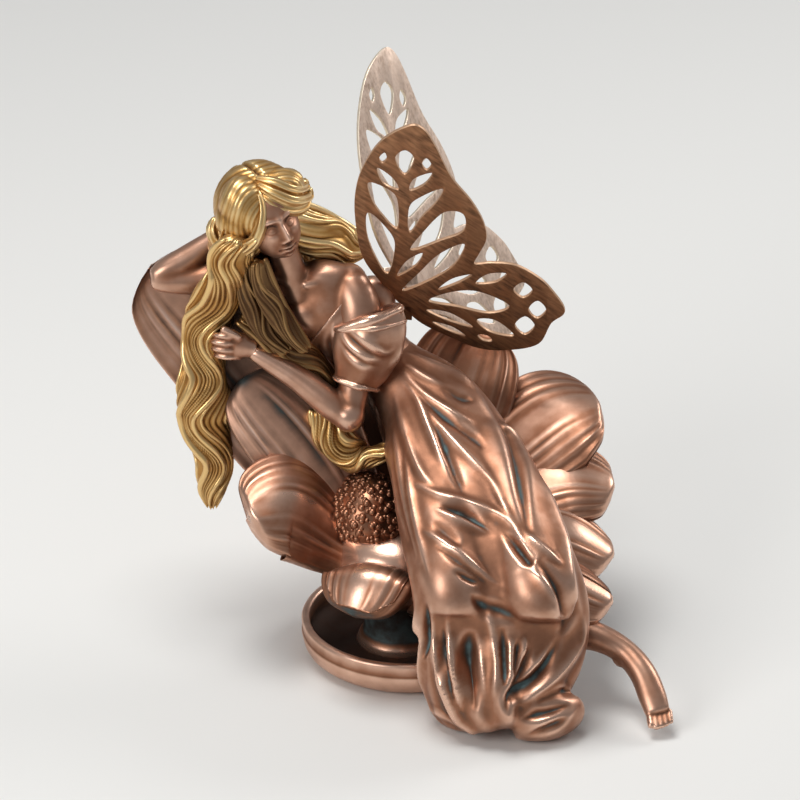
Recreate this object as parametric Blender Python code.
"""Fairy resting in an open flower above a round dish, with two pierced metal wings.

All sizes are in millimetres, and every finished mesh is scaled to metres at the end.
+Z is up, -Y is the front, and the origin is the centre of the dish's underside.
The fairy, the flower and the dish are one casting. Each wing is one flat stamped sheet
whose tab stands in a slot in the casting's back.
"""

import math

import bmesh
import bpy
import numpy as np
from mathutils import Matrix, Vector

METRES_PER_MM = 0.001

# Dish
DISH_RADIUS = 24.0
DISH_HEIGHT = 9.0
DISH_WALL = 1.9
DISH_FLOOR = 2.2
DISH_FOOT_RADIUS = 19.5
DISH_BELLY_HEIGHT = 3.0
DISH_BELLY_INSET = 0.5

# Stem and heart of the flower
STEM_RADIUS = 8.0
STEM_FOOT_RADIUS = 10.0
STEM_FOOT_HEIGHT = 3.0
STEM_HEIGHT = 13.0
HEART_RADIUS = 14.0
HEART_TOP = 30.0
HEART_CENTRE = (-2.0, 1.0)

# Seed head: a dome covered with beads
SEED_HEAD = (-9.0, 2.0, 30.0)
SEED_HEAD_RADIUS = 10.0
SEED_HEAD_RISE = 5.5
SEED_RADIUS = 1.5
SEED_COUNT = 46
SEED_REACH = 0.97

# Petals: four points of the midrib from the stem, full width, the way the face looks, cupping
PETAL_THICKNESS = 3.0
PETAL_RIBS = 5
PETAL_RIB_DEPTH = 0.35
PETALS = {
    "head_rest": (((-5, 5, 18), (-17, 12, 35), (-38, 21, 62.5), (-57.5, 28, 81.5)), 36,
                  (-0.35, -0.75, 0.55), 3.0),
    "under_hand": (((-4, 3, 18), (-15, 7, 34), (-26.5, 9.5, 50), (-37.5, 14, 61)), 21,
                   (-0.1, -0.72, 0.68), -2.5),
    "left": (((-4, 1, 17), (-17, 0, 30), (-27, -3, 40), (-35.5, -6, 36.5)), 25,
             (-0.1, -0.6, 0.8), -3.5),
    "front_left": (((-2, -2, 16), (-6, -11, 26), (-9.5, -18.5, 29), (-12.5, -24, 22)), 22,
                   (-0.3, -0.4, 0.9), -2.5),
    "front": (((0, -3, 15), (8, -12, 21), (15, -19, 24), (20, -24, 22)), 20,
              (0.0, -0.4, 0.9), -2.0),
    "front_right": (((3, -2, 15), (14, -9, 23), (31, -16, 28), (45.5, -18, 21.5)), 19,
                    (0.2, -0.3, 0.9), -3.0),
    "right_front": (((4, 0, 16), (17, -1, 27), (33, -3, 32.5), (46, -4, 25.5)), 21,
                    (0.2, -0.35, 0.9), -3.0),
    "right": (((4, 2, 17), (18, 6, 32), (34, 9, 38.5), (46.5, 9.5, 36)), 22,
              (0.1, -0.45, 0.9), -2.0),
    "right_back": (((4, 4, 18), (16, 13, 35), (32, 21.5, 47.5), (43.5, 25, 49)), 29,
                   (-0.2, -0.45, 0.85), -2.0),
    "back": (((1, 5, 18), (6, 18, 35), (12, 31, 51), (17, 38, 61)), 26,
             (-0.1, -0.8, 0.6), 1.5),
    "back_left": (((-2, 5, 18), (-8, 20, 38), (-17, 34, 54), (-26, 41, 65)), 28,
                  (0.1, -0.8, 0.6), 2.0),
}
PETAL_SHARES = (0.35, 0.76, 1.0, 0.96, 0.62)
PETAL_EDGE_POWER = 0.6

# Figure: stations x, y, z, half width, half depth along each limb and the trunk
ACROSS_SHOULDERS = (1.0, -0.15, -0.1)
TRUNK = (
    (6, 13, 47, 12, 9),
    (0, 17, 56, 9, 7.5),
    (-5, 19.5, 62, 7.2, 6.2),
    (-11.5, 20, 69, 8.2, 6.8),
    (-17.5, 19.5, 76, 9.6, 7),
    (-21, 20, 82, 9.2, 5.4),
    (-23.5, 19.5, 86, 4.5, 3.6),
)
NECK = ((-24, 19, 80, 4.4, 4.4), (-26, 18.5, 86, 3.4, 3.4), (-29, 18.5, 95, 3.6, 3.8))
LEFT_UPPER_ARM = (
    (-13.5, 19.5, 83.5, 3.6, 3.6),
    (-11.5, 15.5, 75, 4.0, 4.0),
    (-12, 10.5, 64, 3.4, 3.4),
    (-13, 6.5, 55, 3.0, 3.0),
)
LEFT_FOREARM = (
    (-12.5, 6, 54.5, 2.6, 2.6),
    (-17, 7.5, 58, 3.4, 3.4),
    (-25, 10.5, 63.5, 2.9, 2.9),
    (-35.5, 13.5, 69, 2.0, 2.0),
)
RIGHT_UPPER_ARM = (
    (-28, 21, 84.5, 3.6, 3.6),
    (-36, 22, 83.5, 3.9, 3.9),
    (-46, 22, 82, 3.4, 3.4),
    (-56, 21.5, 82, 2.8, 2.8),
)
RIGHT_FOREARM = (
    (-56, 21.5, 82.5, 2.6, 2.6),
    (-49, 23.5, 86.5, 3.2, 3.2),
    (-38, 26, 93.5, 2.4, 2.4),
)
HAND = (-38.0, 13.2, 70.0)
HAND_SIZE = (3.4, 1.9, 3.4)
FINGER_RADIUS = 1.05
FINGER_LENGTH = 5.6
FINGER_PITCH = 1.75
FINGERS = 4
FINGER_TIP_SHARE = 0.9
FINGER_ROOT_AHEAD = 0.6
KNUCKLE_AHEAD = 1.0
KNUCKLE_RISE = 0.4
FINGER_TIP_BACK = 0.4
FINGER_TIP_RISE = 0.2
SLEEVE = (
    (-9, 14.2, 76.4, 7.2, 6.2),
    (-8.8, 13.4, 73.6, 7.6, 6.6),
    (-9.2, 12.8, 70.5, 7.4, 6.4),
    (-10.2, 11.6, 66.2, 6.2, 5.6),
    (-11.7, 10.3, 62, 4.6, 4.6),
)
BUST = ((-14.5, 14.0, 75.5), (-24.5, 14.5, 77.5))
BUST_SIZE = (4.6, 3.9, 4.4)
FOOT = (
    (34, -20, 15, 4.6, 4.6),
    (43, -22.5, 12.8, 3.8, 3.8),
    (49.5, -25.5, 11.6, 3.4, 3.4),
    (53, -30.5, 8, 3.2, 2.8),
    (55.5, -37.5, 3.8, 2.6, 2.0),
    (56.3, -41, 2.2, 1.4, 1.1),
)

ACROSS_FOOT = (0.4, 0.9, 0.2)

# Head: centre, the way the face looks and the way its crown points
HEAD = (-30.8, 17.5, 99.2)
FACE_AHEAD = (0.42, -0.89, 0.17)
CROWN_UP = (-0.28, -0.08, 0.95)
SKULL_SIZE = (6.6, 7.6, 9.2)
HAIR_CAP_SIZE = (10.2, 8.8, 10.4)
HAIR_CAP_BACK = 4.0
HAIR_CAP_UP = 2.4
SKULL_AHEAD = 0.6
SKULL_DROP = 0.3
NOSE_SIZE = (1.1, 1.6, 1.9)
NOSE_DROP = 1.8
CHIN_SIZE = (2.2, 2.0, 1.8)
CHIN_BEHIND_FACE = 2.4
CHIN_ABOVE_SKULL_END = 1.6

# Locks of hair: stations x, y, z, half width, half depth
LOCK_RIDGE = 0.35
LOCK_RIDGES = 9
LOCK_ACROSS = (1.0, 0.3, 0.0)
LOCKS = {
    "long_tress": (
        (-37, 12, 99, 5, 3),
        (-39, 12.5, 92, 5.6, 3.4),
        (-40.5, 14, 84, 5, 3),
        (-45.5, 16, 74, 3.8, 2.6),
        (-45.2, 15, 66, 5.2, 3),
        (-46, 13, 57, 6, 3.2),
        (-43.5, 12, 46.5, 4.4, 2.6),
        (-45, 11.5, 38, 3, 2.2),
        (-44.3, 11, 31, 0.9, 0.9),
    ),
    "shoulder_lock": (
        (-28, 21, 99, 5, 4),
        (-20, 24.5, 93, 5, 3.4),
        (-13.5, 26, 89.5, 3.8, 2.6),
        (-8.5, 26.5, 87.5, 0.9, 0.9),
    ),
    "back_fall": (
        (-33, 24, 101, 8, 4.5),
        (-32, 27.5, 91, 8, 4.2),
        (-27, 28.5, 80, 6.4, 3.8),
        (-24, 29.5, 69, 6, 3.4),
        (-17, 31, 58, 3.6, 2.6),
        (-14, 31, 50, 1, 1),
    ),
    "under_arm_lock": (
        (-37, 15.5, 77, 2.6, 1.8),
        (-29, 14.5, 70.5, 3.6, 2),
        (-21, 14, 64, 3.2, 2),
        (-15, 14, 58, 1.2, 1.2),
    ),
    "elbow_lock": (
        (-19.5, 11, 56, 2.4, 1.8),
        (-17, 9.5, 49, 3.8, 2.4),
        (-11, 8, 44.5, 3.6, 2.4),
        (-5, 6.5, 47, 2.4, 1.6),
        (-2, 5, 50.5, 0.8, 0.8),
    ),
}

# Dress: stations x, y, z, half width, half depth from the waist over the knees to the hem
DRESS = (
    (-8, 20.5, 66, 6.4, 5.4),
    (-3, 18, 61, 8, 7),
    (5, 12, 54.5, 12, 9.4),
    (10.5, 1, 47, 15.2, 10.4),
    (15, -14, 39, 17.6, 10),
    (19.5, -26, 30, 19.2, 9.4),
    (20.5, -30, 20, 19.2, 9),
    (17.4, -35, 9.5, 15.6, 11.5),
    (19.4, -38, 1.4, 11, 12),
)
DRESS_ACROSS = (1.0, 0.12, -0.08)
DRESS_FOLDS = 9
DRESS_FOLD_DEPTH = 1.2
DRESS_FOLD_SWAY = 1.4
DRESS_FOLD_WAVES = 3.0
DRESS_SMOOTHING_COUNT = 10
THIGHS = (
    ((2, 8, 51, 8.5, 7), (7, -11, 43.5, 9.6, 8), (10, -29, 33.5, 8.4, 7.8), (10, -34, 27, 6, 5.5)),
    ((15, 6, 51, 9, 7.5), (22.5, -13, 42, 10, 8.4), (28.5, -31, 33, 8.8, 8), (29, -36, 27, 6, 5.5)),
)
HEM_LOBE = (
    (28, -36, 6, 4, 3),
    (34, -34, 4.5, 4.4, 2.6),
    (38.5, -32.5, 3.6, 3.2, 1.8),
)

# Large folds of the dress: height or depth, half width, then points across and up, laid out
# on the plane that is seen from FOLD_TILT degrees above the front
FOLD_TILT = 27.6
FOLD_END_SHARE = 0.2
FOLD_FACING = 0.35
FOLD_CRESTS = {
    "hip_edge": (1.6, 1.4, ((-2, 61.5), (2, 56), (5, 49.5), (9.5, 40), (12, 34))),
    "lap_pleat": (1.5, 1.4, ((2, 57), (7, 50.5), (13, 44), (18.5, 38), (22.5, 30.5))),
    "outer_band": (1.2, 1.6, ((4.5, 69), (11.5, 66), (18, 61), (20.5, 57))),
    "long_rim": (2.2, 1.7, ((26, 53), (29.5, 44.5), (32, 34.5), (34.5, 26), (36.5, 15), (39, 7))),
    "cross_pleat": (1.3, 1.3, ((25, 28), (28, 25), (32, 21.5), (36, 18))),
    "waist_pleat": (1.6, 1.6, ((0.5, 38), (7, 35), (13.5, 33), (22, 29.5), (26, 24.5))),
    "near_thigh": (1.6, 1.7, ((1.5, 28), (8.5, 24), (15, 18.5), (22, 14))),
    "far_knee_edge": (1.2, 1.4, ((26, 19), (30.5, 15), (34, 10))),
    "hem_left": (1.2, 1.3, ((1.5, 11), (2, 0), (4, -11.5))),
    "hem_second": (1.4, 1.4, ((6, 6.5), (6.5, -4), (10.5, -14), (13.5, -16.5))),
    "hem_middle": (1.4, 1.4, ((18, 8), (20, -2), (19, -10.5))),
    "hem_right": (2.0, 1.6, ((39, 9), (38, 2), (32, -6), (25, -11.5))),
}
FOLD_HOLLOWS = {
    "under_lap": (1.5, 1.4, ((3.5, 56.5), (8.5, 52), (14.5, 47.5), (17, 45))),
    "long_channel": (2.8, 1.9, ((7.5, 67.5), (15.5, 61), (20.5, 54), (24, 46), (25.5, 34), (27, 24.5))),
    "thigh_channel": (2.2, 1.5, ((20.5, 27), (26, 21.5), (28, 19))),
    "under_waist": (1.7, 1.3, ((7, 32.5), (12.5, 31), (19.5, 26))),
    "under_thigh": (1.3, 1.3, ((6, 24), (12.5, 19), (18, 14.5))),
    "knee_channel": (2.8, 1.7, ((28, 21), (33.5, 14.5), (35.5, 9), (34, 3.5))),
    "between_knees": (2.4, 2.0, ((14, 13), (17, 10), (20.5, 9), (25, 6.5))),
    "hem_first": (2.0, 1.3, ((4, 11), (4, 4), (3.5, -2))),
    "hem_deep": (4.2, 2.6, ((14, 5), (13.5, -3), (14.5, -14.5))),
    "hem_fourth": (1.8, 1.4, ((27.5, 2), (25.5, -5.5), (22.5, -10))),
    "hem_far": (2.6, 1.6, ((34, 3.5), (30.5, -2.5), (26.5, -6.5), (22, -10.5), (22, -14))),
}

# Wings: both are stamped to one outline, in a plane with a fore and a hind direction
WING_SHEET = 0.9
WING_CLEARANCE = 0.3
WING_TAB_LENGTH = 8.0
WING_TAB_HEIGHT = 4.6
WING_TAB_ROOT = 2.0
NEAR_TAB_LEVEL = -3.8
FAR_TAB_LEVEL = 3.2
WING_BOSS = (-8.0, 24.0, 74.5)
WING_BOSS_SIZE = (7.4, 4.6, 8.6)
NEAR_WING = ((-1.0, 24.0, 76.0), (0.02, -0.327, 0.949), (1.0, -0.05, -0.04), NEAR_TAB_LEVEL)
FAR_WING = ((0.8, 30.2, 75.4), (-0.12, 0.461, 0.879), (0.70, 0.671, -0.227), FAR_TAB_LEVEL)
WING_OUTLINE = (
    (-2.3, 0.1), (4.5, -4.6), (12.9, -9.3), (22.5, -11.0), (32.3, -11.4), (41.1, -9.8),
    (49.5, -5.9), (54.5, -0.1), (53.9, 3.1), (49.1, 5.9), (39.7, 9.7), (32.4, 14.4),
    (26.2, 17.2), (21.0, 18.0), (16.2, 16.5), (13.0, 15.6), (13.6, 19.3), (13.2, 24.8),
    (9.5, 30.2), (5.9, 33.1), (1.0, 35.9), (-1.6, 35.9), (-4.6, 33.3), (-11.4, 30.7),
    (-14.0, 24.0), (-13.9, 17.2), (-10.8, 10.7), (-7.0, 4.3),
)
WING_HOLES = (
    ((47.1, -0.6), (44.5, 1.4), (39.6, -0.6), (44.5, -2.7)),
    ((46.0, -5.1), (44.2, -4.6), (42.8, -5.6), (44.4, -6.2)),
    ((45.1, 4.0), (43.2, 3.2), (41.3, 4.2), (43.2, 5.2)),
    ((41.2, -6.6), (38.4, -3.2), (34.8, -1.8), (36.6, -5.2)),
    ((34.8, 0.7), (38.4, 1.5), (40.6, 5.4), (37.0, 3.9)),
    ((36.6, -8.4), (34.4, -3.6), (30.8, -1.9), (22.8, -1.9), (26.6, -5.2), (31.4, -7.6)),
    ((21.8, 0.9), (29.6, 0.7), (33.2, 3.4), (35.9, 7.9), (31.6, 6.6), (26.6, 3.4)),
    ((16.2, 1.3), (22.2, 4.0), (28.6, 8.4), (28.4, 12.6), (23.2, 12.8), (19.8, 7.8)),
    ((27.2, -8.4), (23.2, -4.6), (17.8, -2.3), (8.4, -3.7), (14.2, -6.8), (21.0, -8.6)),
    ((7.9, -1.5), (12.6, 0.4), (15.5, 3.9), (11.4, 2.5)),
    ((3.2, -0.3), (9.6, 3.6), (15.6, 7.8), (19.1, 13.1), (12.6, 11.2), (7.4, 6.2)),
    ((4.2, 7.7), (7.9, 10.7), (9.6, 15.1), (6.6, 11.9)),
    ((6.8, 16.0), (10.0, 18.6), (10.5, 22.8), (7.6, 20.4)),
    ((8.0, 26.6), (5.6, 28.7), (3.1, 26.6), (5.6, 24.5)),
    ((2.4, 30.0), (-0.4, 32.0), (-3.2, 30.0), (-0.4, 28.1)),
    ((-2.8, 27.4), (-5.7, 29.6), (-8.7, 27.4), (-5.7, 25.2)),
    ((0.4, 5.6), (3.6, 10.6), (4.3, 16.6), (0.4, 23.7), (-2.4, 19.4), (-0.9, 12.0)),
    ((-2.5, 5.2), (-3.0, 10.4), (-7.2, 15.8), (-5.4, 9.8)),
    ((-4.8, 16.6), (-4.6, 20.8), (-9.2, 25.1), (-8.4, 19.6)),
    ((-6.2, 6.6), (-7.4, 11.0), (-10.2, 14.2), (-8.6, 10.0)),
    ((-9.7, 17.0), (-9.4, 19.0), (-11.3, 20.2), (-11.3, 18.2)),
)

# Mesh
VOXEL = 0.8
CASTING_TRIANGLES = 9400
TUBE_RINGS = 36
TUBE_SIDES = 24
LOCK_RINGS = 48
LOCK_SIDES = 40
DRESS_RINGS = 60
DRESS_SIDES = 72
FINGER_RINGS = 10
FINGER_SIDES = 10
BALL_SEGMENTS = 20
BALL_RINGS = 12
LATHE_SIDES = 72
OUTLINE_STEP = 3
HOLE_STEP = 3
STEP_ALONG = 0.01
ROUND_END = 0.07
WELD = 0.01
BELOW_BASE = 2.0
BASE_CUTTER = 300.0

BRONZE = ("antique_bronze", (0.30, 0.13, 0.065, 1.0), 0.42, 0.85)
WING_METAL = ("pierced_wing_brass", (0.26, 0.16, 0.085, 1.0), 0.45, 0.9)


def clear_scene():
    for item in list(bpy.data.objects):
        bpy.data.objects.remove(item, do_unlink=True)


def curve_value(a, b, c, d, f):
    """Catmull-Rom value between b and c."""
    return b + 0.5 * f * (c - a + f * (2 * a - 5 * b + 4 * c - d + f * (3 * (b - c) + d - a)))


def along(stations, t):
    """Values of the smooth curve through the stations, for t from 0 to 1."""
    last = len(stations) - 1
    i = min(int(t * last), last - 1)
    four = (stations[max(i - 1, 0)], stations[i], stations[i + 1], stations[min(i + 2, last)])
    return [curve_value(*values, t * last - i) for values in zip(*four)]


def closed_curve(points, step):
    """Points of the smooth closed curve through the given points, step for each stretch."""
    count = len(points)
    result = []
    for i in range(count):
        four = [points[(i + k) % count] for k in (-1, 0, 1, 2)]
        for k in range(step):
            result.append(tuple(curve_value(*values, k / step) for values in zip(*four)))
    return result


def smooth_step(edge_low, edge_high, value):
    f = min(max((value - edge_low) / (edge_high - edge_low), 0.0), 1.0)
    return f * f * (3 - 2 * f)


def round_end(t):
    """Factor that closes a tube with round ends."""
    from_end = min(t, 1 - t) / ROUND_END
    return math.sqrt(max(1 - (1 - min(from_end, 1)) ** 2, 0))


def plain_section(t, angle, width, depth):
    """Ellipse: offsets across the tube and out of it."""
    return width * math.cos(angle), depth * math.sin(angle)


def add_tube(bm, stations, across, section=plain_section, rings=TUBE_RINGS, sides=TUBE_SIDES):
    """A closed tube along the stations, whose width lies as near to across as it can."""
    across = Vector(across)
    grid = bmesh.ops.create_grid(bm, x_segments=rings, y_segments=sides, size=0.5)
    for vert in grid["verts"]:
        t = vert.co.x + 0.5
        x, y, z, width, depth = along(stations, t)
        ahead = Vector(along(stations, min(t + STEP_ALONG, 1))[:3])
        ahead = (ahead - Vector(along(stations, max(t - STEP_ALONG, 0))[:3])).normalized()
        side = (across - ahead * across.dot(ahead)).normalized()
        end = round_end(t)
        wide, out = section(t, 2 * math.pi * (vert.co.y + 0.5), width * end, depth * end)
        vert.co = Vector((x, y, z)) + side * wide + side.cross(ahead) * out
    bmesh.ops.remove_doubles(bm, verts=grid["verts"], dist=WELD)


def add_ball(bm, centre, size, turn=None):
    """An ellipsoid with three half sizes, turned by a 3x3 matrix."""
    turn = turn.to_4x4() if turn else Matrix.Identity(4)
    matrix = Matrix.Translation(centre) @ turn @ Matrix.Diagonal((*size, 1))
    bmesh.ops.create_uvsphere(bm, u_segments=BALL_SEGMENTS, v_segments=BALL_RINGS, radius=1, matrix=matrix)


def add_lathe(bm, profile, centre=(0, 0)):
    """A solid turned about a vertical axis; the profile runs from the axis to the axis."""
    first = bm.verts.new((0, 0, profile[0][1]))
    verts = [first] + [bm.verts.new((r, 0, z)) for r, z in profile]
    edges = [bm.edges.new(pair) for pair in zip(verts, verts[1:])]
    known = set(bm.verts) - set(verts)
    bmesh.ops.spin(
        bm, geom=verts + edges, cent=(0, 0, 0), axis=(0, 0, 1),
        angle=2 * math.pi, steps=LATHE_SIDES, use_merge=True,
    )
    turned = [v for v in bm.verts if v not in known]
    bmesh.ops.translate(bm, verts=turned, vec=(*centre, 0))
    bmesh.ops.remove_doubles(bm, verts=turned, dist=WELD)


def head_turn():
    """Matrix whose columns are the head's side, ahead and up directions."""
    ahead = Vector(FACE_AHEAD).normalized()
    up = Vector(CROWN_UP)
    up = (up - ahead * up.dot(ahead)).normalized()
    return Matrix((ahead.cross(up), ahead, up)).transposed()


def add_dish(bm):
    inner = DISH_RADIUS - DISH_WALL
    belly = DISH_RADIUS - DISH_BELLY_INSET
    floor_radius = DISH_FOOT_RADIUS - DISH_WALL
    add_lathe(bm, (
        (0, -BELOW_BASE),
        (DISH_FOOT_RADIUS, -BELOW_BASE),
        (DISH_FOOT_RADIUS, 0),
        (0.5 * (DISH_FOOT_RADIUS + belly), 0.25 * DISH_BELLY_HEIGHT),
        (belly, DISH_BELLY_HEIGHT),
        (DISH_RADIUS, 0.6 * DISH_HEIGHT),
        (DISH_RADIUS, DISH_HEIGHT - 0.4 * DISH_WALL),
        (DISH_RADIUS - 0.5 * DISH_WALL, DISH_HEIGHT),
        (inner, DISH_HEIGHT - 0.4 * DISH_WALL),
        (inner, 0.6 * DISH_HEIGHT),
        (belly - DISH_WALL, DISH_BELLY_HEIGHT + 0.4 * DISH_FLOOR),
        (floor_radius, DISH_FLOOR),
        (0, DISH_FLOOR),
    ))


def add_stem_and_heart(bm):
    rise = HEART_TOP - STEM_HEIGHT
    add_lathe(bm, (
        (0, 0.5 * DISH_FLOOR),
        (STEM_FOOT_RADIUS, 0.5 * DISH_FLOOR),
        (STEM_RADIUS, DISH_FLOOR + STEM_FOOT_HEIGHT),
        (STEM_RADIUS, STEM_HEIGHT),
        (0.5 * (HEART_RADIUS + STEM_RADIUS), STEM_HEIGHT + 0.25 * rise),
        (HEART_RADIUS, STEM_HEIGHT + 0.6 * rise),
        (0.9 * HEART_RADIUS, HEART_TOP),
        (0, HEART_TOP),
    ), HEART_CENTRE)


def add_seed_head(bm):
    centre = Vector(SEED_HEAD)
    add_ball(bm, centre, (SEED_HEAD_RADIUS, SEED_HEAD_RADIUS, SEED_HEAD_RISE))
    golden_angle = math.pi * (3 - math.sqrt(5))
    for i in range(SEED_COUNT):
        share = math.sqrt((i + 0.5) / SEED_COUNT)
        out = SEED_HEAD_RADIUS * SEED_REACH * share
        rise = SEED_HEAD_RISE * math.sqrt(1 - (SEED_REACH * share) ** 2)
        angle = i * golden_angle
        place = centre + Vector((out * math.cos(angle), out * math.sin(angle), rise))
        matrix = Matrix.Translation(place)
        bmesh.ops.create_icosphere(bm, subdivisions=2, radius=SEED_RADIUS, matrix=matrix)


def rounded(value, power):
    return math.copysign(abs(value) ** power, value)


def petal_stations(rib, width):
    """Midrib with its half widths; the petal is widest a little past its middle."""
    last = len(PETAL_SHARES) - 1
    return [
        (*along(rib, i / last), 0.5 * width * share, 0.5 * PETAL_THICKNESS)
        for i, share in enumerate(PETAL_SHARES)
    ]


def add_petal(bm, rib, width, looks, cupping):
    chord = (Vector(rib[-1]) - Vector(rib[0])).normalized()
    across = chord.cross(Vector(looks)).normalized()

    def section(t, angle, wide, depth):
        share = rounded(math.cos(angle), PETAL_EDGE_POWER)
        ribs = PETAL_RIB_DEPTH * math.cos(PETAL_RIBS * 2 * math.pi * share) * (1 - share * share)
        out = depth * rounded(math.sin(angle), PETAL_EDGE_POWER) + cupping * share * share + ribs
        return wide * share, out

    add_tube(bm, petal_stations(rib, width), across, section)


def add_lock(bm, stations):
    def section(t, angle, width, depth):
        ridge = LOCK_RIDGE * math.cos(LOCK_RIDGES * angle) * min(depth, 1)
        return (width + ridge) * math.cos(angle), (depth + ridge) * math.sin(angle)

    add_tube(bm, stations, LOCK_ACROSS, section, rings=LOCK_RINGS, sides=LOCK_SIDES)


def add_head(bm):
    turn = head_turn()
    head = Vector(HEAD)
    side, ahead, up = turn.col
    chin_ahead = SKULL_SIZE[1] - CHIN_BEHIND_FACE
    chin_drop = SKULL_SIZE[2] - CHIN_ABOVE_SKULL_END
    add_ball(bm, head + ahead * SKULL_AHEAD - up * SKULL_DROP, SKULL_SIZE, turn)
    add_ball(bm, head - ahead * HAIR_CAP_BACK + up * HAIR_CAP_UP, HAIR_CAP_SIZE, turn)
    add_ball(bm, head + ahead * SKULL_SIZE[1] - up * NOSE_DROP, NOSE_SIZE, turn)
    add_ball(bm, head + ahead * chin_ahead - up * chin_drop, CHIN_SIZE, turn)


def add_hand(bm):
    hand = Vector(HAND)
    add_ball(bm, hand, HAND_SIZE)
    for i in range(FINGERS):
        level = hand.z + (0.5 * (FINGERS - 1) - i) * FINGER_PITCH
        root = (hand.x, hand.y - FINGER_ROOT_AHEAD, level)
        knuckle = (hand.x - 0.5 * FINGER_LENGTH, hand.y - KNUCKLE_AHEAD, level + KNUCKLE_RISE)
        tip = (hand.x - FINGER_LENGTH, hand.y + FINGER_TIP_BACK, level + FINGER_TIP_RISE)
        finger = [
            (*place, FINGER_RADIUS * share, FINGER_RADIUS * share)
            for place, share in ((root, 1), (knuckle, 1), (tip, FINGER_TIP_SHARE))
        ]
        add_tube(bm, finger, (0, 0, 1), rings=FINGER_RINGS, sides=FINGER_SIDES)


def add_figure(bm):
    for stations in (TRUNK, NECK, LEFT_UPPER_ARM, LEFT_FOREARM, RIGHT_UPPER_ARM, RIGHT_FOREARM):
        add_tube(bm, stations, ACROSS_SHOULDERS)
    for centre in BUST:
        add_ball(bm, centre, BUST_SIZE)
    add_tube(bm, FOOT, ACROSS_FOOT)
    add_tube(bm, SLEEVE, ACROSS_SHOULDERS)
    add_ball(bm, WING_BOSS, WING_BOSS_SIZE)
    add_hand(bm)
    add_head(bm)
    for stations in LOCKS.values():
        add_lock(bm, stations)


def dress_section(t, angle, width, depth):
    """Folds deepen towards the hem; they run with the length of the dress."""
    fold = math.cos(DRESS_FOLDS * angle + DRESS_FOLD_SWAY * math.sin(DRESS_FOLD_WAVES * t))
    grow = DRESS_FOLD_DEPTH * smooth_step(0, 1, t) * fold
    return (width + grow) * math.cos(angle), (depth + grow) * math.sin(angle)


def line_relief(across, up, height, half_width, line):
    """Relief of one fold at points of the layout plane; it fades towards the line's ends."""
    nearest = np.full(len(across), np.inf)
    share = np.zeros(len(across))
    for i, ((x0, y0), (x1, y1)) in enumerate(zip(line, line[1:])):
        dx, dy = x1 - x0, y1 - y0
        f = np.clip(((across - x0) * dx + (up - y0) * dy) / (dx * dx + dy * dy), 0, 1)
        distance = np.hypot(across - x0 - f * dx, up - y0 - f * dy)
        closer = distance < nearest
        nearest = np.where(closer, distance, nearest)
        share = np.where(closer, (i + f) / (len(line) - 1), share)
    ends = np.clip(np.minimum(share, 1 - share) / FOLD_END_SHARE, 0, 1)
    return height * ends * np.exp(-(nearest / half_width) ** 2)


def lay_folds(item):
    """Raises the crests and sinks the hollows on the side that the folds are laid out for."""
    mesh = item.data
    places = np.empty(3 * len(mesh.vertices))
    mesh.vertices.foreach_get("co", places)
    places = places.reshape(-1, 3)
    normals = np.empty(3 * len(mesh.vertices))
    mesh.vertex_normals.foreach_get("vector", normals)
    normals = normals.reshape(-1, 3)
    tilt = math.radians(FOLD_TILT)
    across = places[:, 0]
    up = places @ np.array((0, math.sin(tilt), math.cos(tilt)))
    facing = np.clip(normals @ np.array((0, -math.cos(tilt), math.sin(tilt))) / FOLD_FACING, 0, 1)
    crest = np.max([line_relief(across, up, *fold) for fold in FOLD_CRESTS.values()], axis=0)
    hollow = np.max([line_relief(across, up, *fold) for fold in FOLD_HOLLOWS.values()], axis=0)
    places = places + normals * (facing * (crest - hollow))[:, None]
    mesh.vertices.foreach_set("co", places.ravel())
    mesh.update()


def add_dress(bm):
    dress = bmesh.new()
    add_tube(dress, DRESS, DRESS_ACROSS, dress_section, rings=DRESS_RINGS, sides=DRESS_SIDES)
    for thigh in THIGHS:
        add_tube(dress, thigh, DRESS_ACROSS)
    add_tube(dress, HEM_LOBE, (0, 0.4, 1))
    item = mesh_object("dress", dress)
    voxel_union(item)
    smooth = item.modifiers.new("smooth", "SMOOTH")
    smooth.iterations = DRESS_SMOOTHING_COUNT
    apply_modifiers(item)
    lay_folds(item)
    bm.from_mesh(item.data)
    bpy.data.objects.remove(item, do_unlink=True)


def mesh_object(name, bm):
    bmesh.ops.recalc_face_normals(bm, faces=bm.faces)
    mesh = bpy.data.meshes.new(name)
    bm.to_mesh(mesh)
    bm.free()
    item = bpy.data.objects.new(name, mesh)
    bpy.context.collection.objects.link(item)
    return item


def apply_modifiers(item):
    """Replaces the mesh with the one that its modifiers give."""
    graph = bpy.context.evaluated_depsgraph_get()
    mesh = bpy.data.meshes.new_from_object(item.evaluated_get(graph))
    item.modifiers.clear()
    old = item.data
    item.data = mesh
    bpy.data.meshes.remove(old)


def keep_largest_shell(item):
    """Drops inner shells and specks that the voxel union leaves."""
    bm = bmesh.new()
    bm.from_mesh(item.data)
    unseen = set(bm.verts)
    shells = []
    while unseen:
        shell = set()
        front = [unseen.pop()]
        while front:
            vert = front.pop()
            shell.add(vert)
            near = {edge.other_vert(vert) for edge in vert.link_edges} & unseen
            unseen -= near
            front.extend(near)
        shells.append(shell)
    largest = max(shells, key=len)
    loose = [v for v in bm.verts if v not in largest]
    bmesh.ops.delete(bm, geom=loose, context="VERTS")
    bm.to_mesh(item.data)
    bm.free()


def voxel_union(item):
    remesh = item.modifiers.new("union", "REMESH")
    remesh.mode = "VOXEL"
    remesh.voxel_size = VOXEL
    apply_modifiers(item)
    keep_largest_shell(item)


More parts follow.
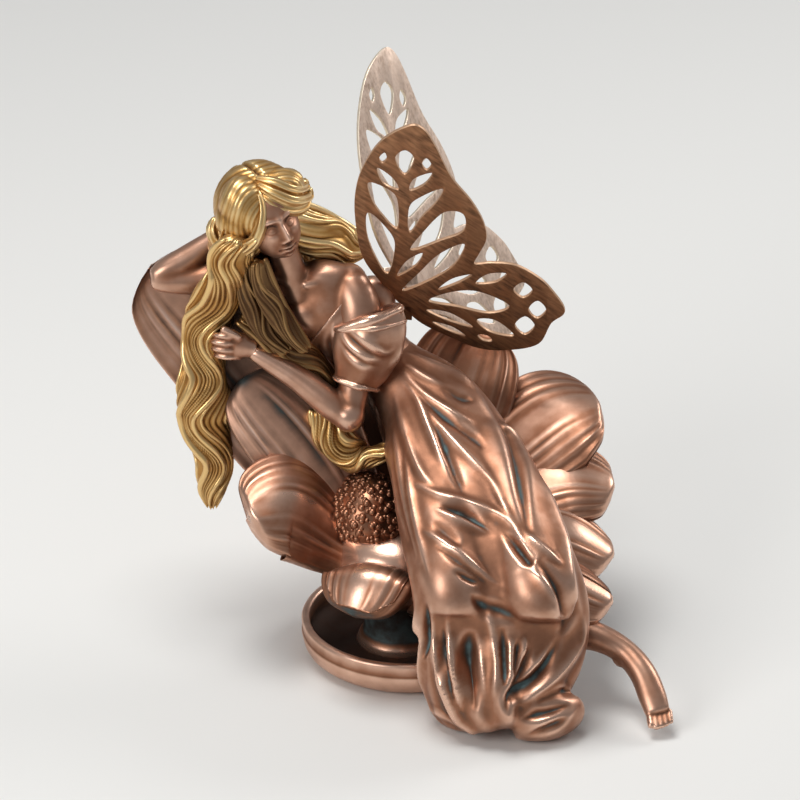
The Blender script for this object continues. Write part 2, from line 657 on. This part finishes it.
def reduce_to(item, triangles):
    present = sum(len(face.vertices) - 2 for face in item.data.polygons)
    decimate = item.modifiers.new("fewer_faces", "DECIMATE")
    decimate.ratio = min(triangles / present, 1.0)
    decimate.use_collapse_triangulate = True
    apply_modifiers(item)


def cut(item, cutter, name):
    cutter.hide_render = True
    cutter.display_type = "WIRE"
    boolean = item.modifiers.new(name, "BOOLEAN")
    boolean.operation = "DIFFERENCE"
    boolean.object = cutter


def base_cutter():
    """A block whose top face is the plane that the dish stands on."""
    bm = bmesh.new()
    matrix = Matrix.Translation((0, 0, -0.5 * BASE_CUTTER))
    bmesh.ops.create_cube(bm, size=BASE_CUTTER, matrix=matrix)
    return mesh_object("base_cutter", bm)


def wing_frame(root, fore, hind):
    """Matrix from wing coordinates (fore, hind, through the sheet) to the model."""
    fore = Vector(fore).normalized()
    hind = Vector(hind)
    hind = (hind - fore * hind.dot(fore)).normalized()
    turn = Matrix((fore, hind, fore.cross(hind))).transposed().to_4x4()
    return Matrix.Translation(root) @ turn


def wing_tab(level, grow):
    """Corners of the tab that stands in the slot, grown by a clearance."""
    low = level - 0.5 * WING_TAB_HEIGHT - grow
    high = level + 0.5 * WING_TAB_HEIGHT + grow
    far = -WING_TAB_LENGTH - grow
    return ((low, WING_TAB_ROOT), (low, far), (high, far), (high, WING_TAB_ROOT))


def pushed_out(points, grow):
    """The closed outline moved outwards by grow."""
    count = len(points)
    area = sum(
        points[i][0] * points[(i + 1) % count][1] - points[(i + 1) % count][0] * points[i][1]
        for i in range(count)
    )
    turn = math.copysign(1.0, area)
    result = []
    for i in range(count):
        (x0, y0), (x1, y1) = points[i - 1], points[(i + 1) % count]
        length = math.hypot(x1 - x0, y1 - y0)
        x, y = points[i]
        result.append((x + turn * grow * (y1 - y0) / length, y - turn * grow * (x1 - x0) / length))
    return result


def flat_sheet(name, outlines, thickness, frame):
    """A filled, extruded sheet; the first outline is the edge and the others are holes."""
    curve = bpy.data.curves.new(name, "CURVE")
    curve.dimensions = "2D"
    curve.fill_mode = "BOTH"
    curve.extrude = 0.5 * thickness
    for outline in outlines:
        spline = curve.splines.new("POLY")
        spline.points.add(len(outline) - 1)
        for point, (x, y) in zip(spline.points, outline):
            point.co = (x, y, 0, 1)
        spline.use_cyclic_u = True
    holder = bpy.data.objects.new(name + "_curve", curve)
    bpy.context.collection.objects.link(holder)
    graph = bpy.context.evaluated_depsgraph_get()
    mesh = bpy.data.meshes.new_from_object(holder.evaluated_get(graph))
    bpy.data.objects.remove(holder, do_unlink=True)
    bm = bmesh.new()
    bm.from_mesh(mesh)
    bpy.data.meshes.remove(mesh)
    bmesh.ops.remove_doubles(bm, verts=bm.verts, dist=WELD)
    bmesh.ops.triangulate(bm, faces=bm.faces)
    bmesh.ops.transform(bm, matrix=frame, verts=bm.verts)
    return mesh_object(name, bm)


def unite(item, other, name):
    boolean = item.modifiers.new(name, "BOOLEAN")
    boolean.operation = "UNION"
    boolean.object = other
    apply_modifiers(item)
    bpy.data.objects.remove(other, do_unlink=True)


def build_wing(name, root, fore, hind, level):
    """The stamped sheet with its tab; returns it with the cutter for its slot."""
    frame = wing_frame(root, fore, hind)
    edge = closed_curve(WING_OUTLINE, OUTLINE_STEP)
    holes = [closed_curve(hole, HOLE_STEP) for hole in WING_HOLES]
    wing = flat_sheet(name, [edge] + holes, WING_SHEET, frame)
    tab = flat_sheet(name + "_tab", [wing_tab(level, 0)], WING_SHEET, frame)
    unite(wing, tab, "tab")
    slot_width = WING_SHEET + 2 * WING_CLEARANCE
    clear_edge = pushed_out(edge, WING_CLEARANCE)
    slot_edge = flat_sheet(name + "_edge_slot", [clear_edge], slot_width, frame)
    slot_tab = flat_sheet(name + "_tab_slot", [wing_tab(level, WING_CLEARANCE)], slot_width, frame)
    unite(slot_edge, slot_tab, "slot")
    return wing, slot_edge


def build_casting():
    bm = bmesh.new()
    add_dish(bm)
    add_stem_and_heart(bm)
    add_seed_head(bm)
    for petal in PETALS.values():
        add_petal(bm, *petal)
    add_figure(bm)
    add_dress(bm)
    casting = mesh_object("fairy_on_flower", bm)
    voxel_union(casting)
    reduce_to(casting, CASTING_TRIANGLES)
    return casting


def give_material(item, name, colour, roughness, metallic):
    material = bpy.data.materials.new(name)
    material.use_nodes = True
    shader = material.node_tree.nodes["Principled BSDF"]
    shader.inputs["Base Color"].default_value = colour
    shader.inputs["Roughness"].default_value = roughness
    shader.inputs["Metallic"].default_value = metallic
    material.diffuse_color = colour
    item.data.materials.clear()
    item.data.materials.append(material)


def finish(item):
    """Applies the cuts, scales the mesh to metres and shades it smooth."""
    apply_modifiers(item)
    item.data.transform(Matrix.Scale(METRES_PER_MM, 4))
    item.data.shade_smooth()
    item.data.set_sharp_from_angle(angle=math.radians(45))


def main():
    clear_scene()
    casting = build_casting()
    near, near_slot = build_wing("left_wing", *NEAR_WING)
    far, far_slot = build_wing("right_wing", *FAR_WING)
    base = base_cutter()
    cut(casting, base, "flat_base")
    cut(casting, near_slot, "left_wing_slot")
    cut(casting, far_slot, "right_wing_slot")
    for item in (casting, near, far):
        finish(item)
    for cutter in (base, near_slot, far_slot):
        bpy.data.objects.remove(cutter, do_unlink=True)
    give_material(casting, *BRONZE)
    give_material(near, *WING_METAL)
    give_material(far, *WING_METAL)


main()
